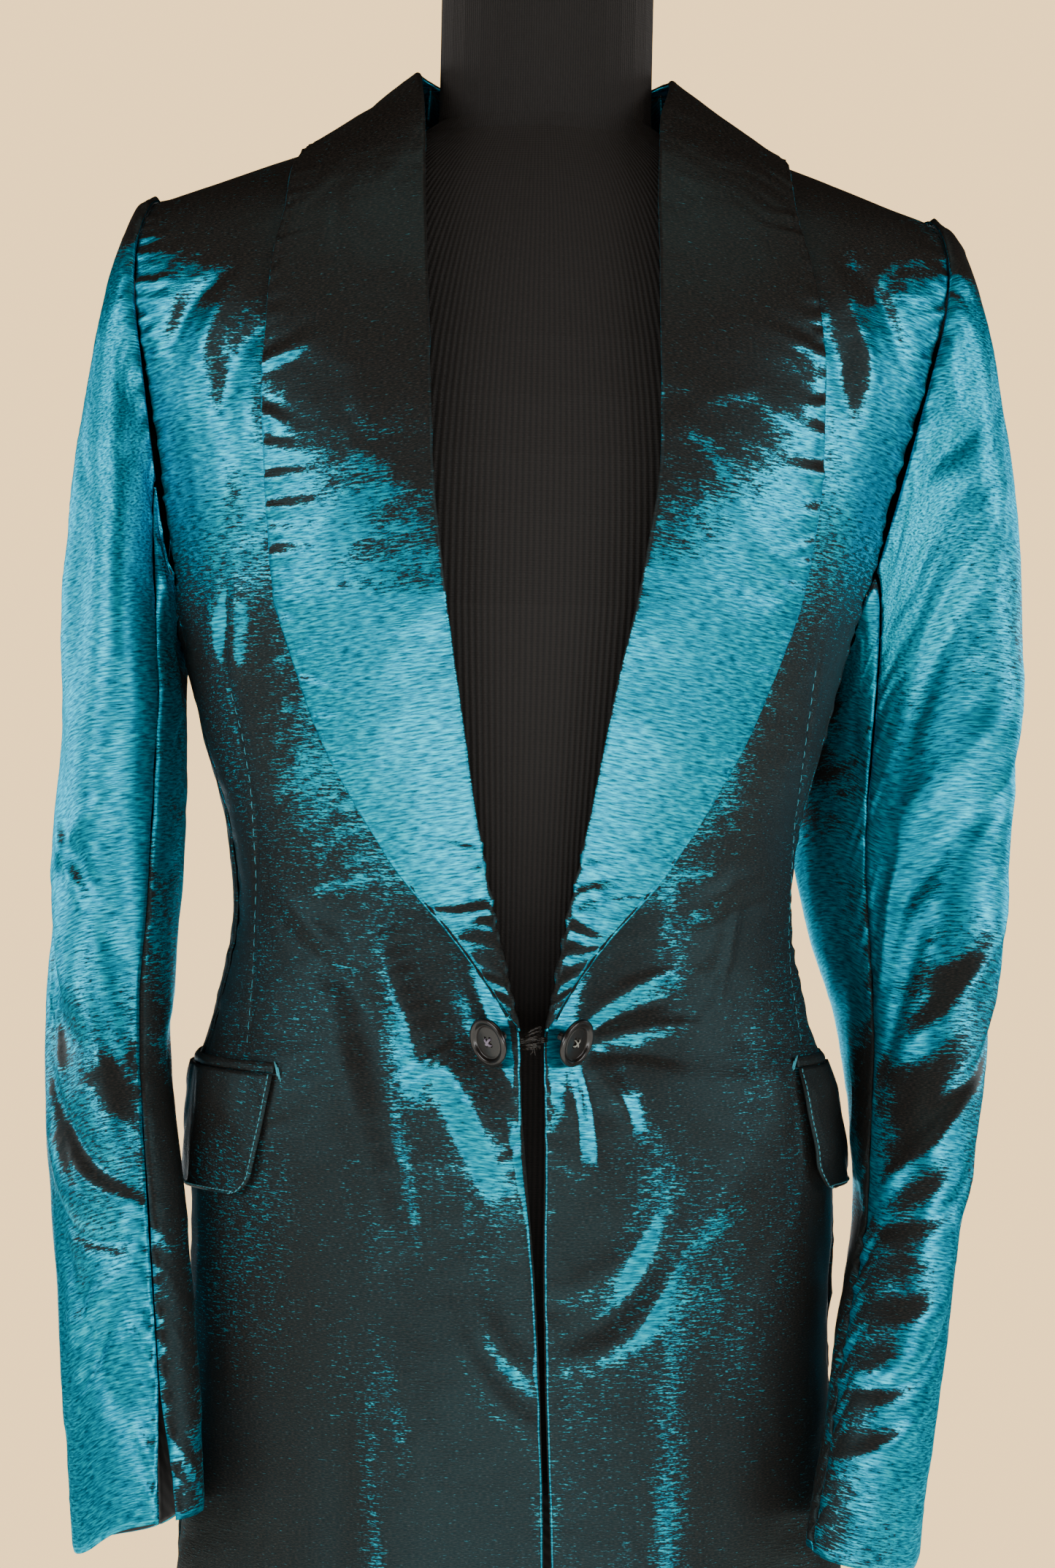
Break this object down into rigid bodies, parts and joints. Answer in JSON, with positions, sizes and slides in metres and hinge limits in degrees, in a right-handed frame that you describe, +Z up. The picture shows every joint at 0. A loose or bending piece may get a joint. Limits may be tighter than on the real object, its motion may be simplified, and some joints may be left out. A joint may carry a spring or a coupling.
{
  "type": "day coat on a dress form",
  "caption": "Long tailored day coat with a shawl collar, flap pockets and a linked front, worn by a limbless dress form on a round stand.",
  "frame": {"origin": "middle of the stand's foot, on the floor", "axes": "+Z up, the coat faces -Y, the wearer's left is at +X"},
  "size_m": [0.4905, 0.38, 1.5963],
  "materials": {
    "shot_taffeta": "crisp shot silk taffeta, teal over black-brown, satiny",
    "black_horn": "polished dark horn",
    "black_thread": "waxed button thread",
    "black_jersey": "matt ribbed jersey cover",
    "black_lacquer": "black lacquer, satin",
    "brushed_steel": "fine brushed"
  },
  "bodies": {
    "root": {"front_left": "shot_taffeta", "front_right": "shot_taffeta", "side_left": "shot_taffeta", "side_right": "shot_taffeta", "back_left": "shot_taffeta", "back_right": "shot_taffeta", "collar_left": "shot_taffeta", "collar_right": "shot_taffeta", "collar_stand": "shot_taffeta", "pocket_flap_left": "shot_taffeta", "pocket_flap_right": "shot_taffeta", "pocket_welt_left": "shot_taffeta", "pocket_welt_right": "shot_taffeta", "top_sleeve_left": "shot_taffeta", "top_sleeve_right": "shot_taffeta", "under_sleeve_left": "shot_taffeta", "under_sleeve_right": "shot_taffeta", "link_button_left": "black_horn", "link_button_right": "black_horn", "button_link": "black_thread", "form_torso": "black_jersey", "neck_cap": "black_lacquer", "stand_pole": "brushed_steel", "stand_base": "brushed_steel"}
  },
  "joints": []
}
